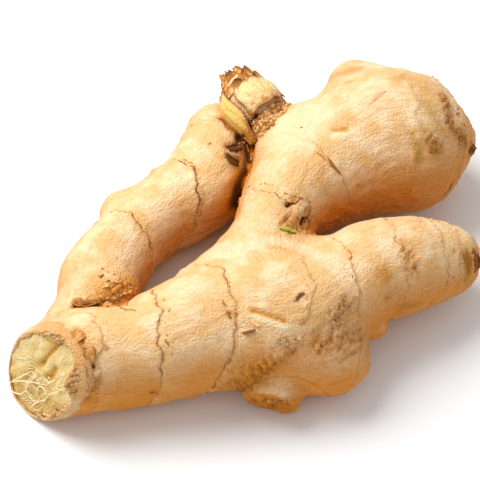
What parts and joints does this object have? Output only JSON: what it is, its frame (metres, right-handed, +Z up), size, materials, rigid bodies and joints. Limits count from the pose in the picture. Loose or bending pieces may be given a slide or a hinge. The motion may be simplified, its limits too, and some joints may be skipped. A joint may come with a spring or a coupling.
{
  "type": "ginger root",
  "caption": "Hand of fresh ginger root with knobbly forked fingers, ringed tan skin, a scaly bud and a slanted cut end.",
  "frame": {"origin": "middle of the base, on the surface that the root lies on", "axes": "+X along the long front limb, from its cut end to the short right finger; +Y from the front limb towards the big back lobe; +Z up"},
  "size_m": [0.1416, 0.1226, 0.0423],
  "materials": {
    "ginger_skin": "thin dry papery skin, satin"
  },
  "bodies": {
    "root": {"ginger_root": "ginger_skin"}
  },
  "joints": []
}
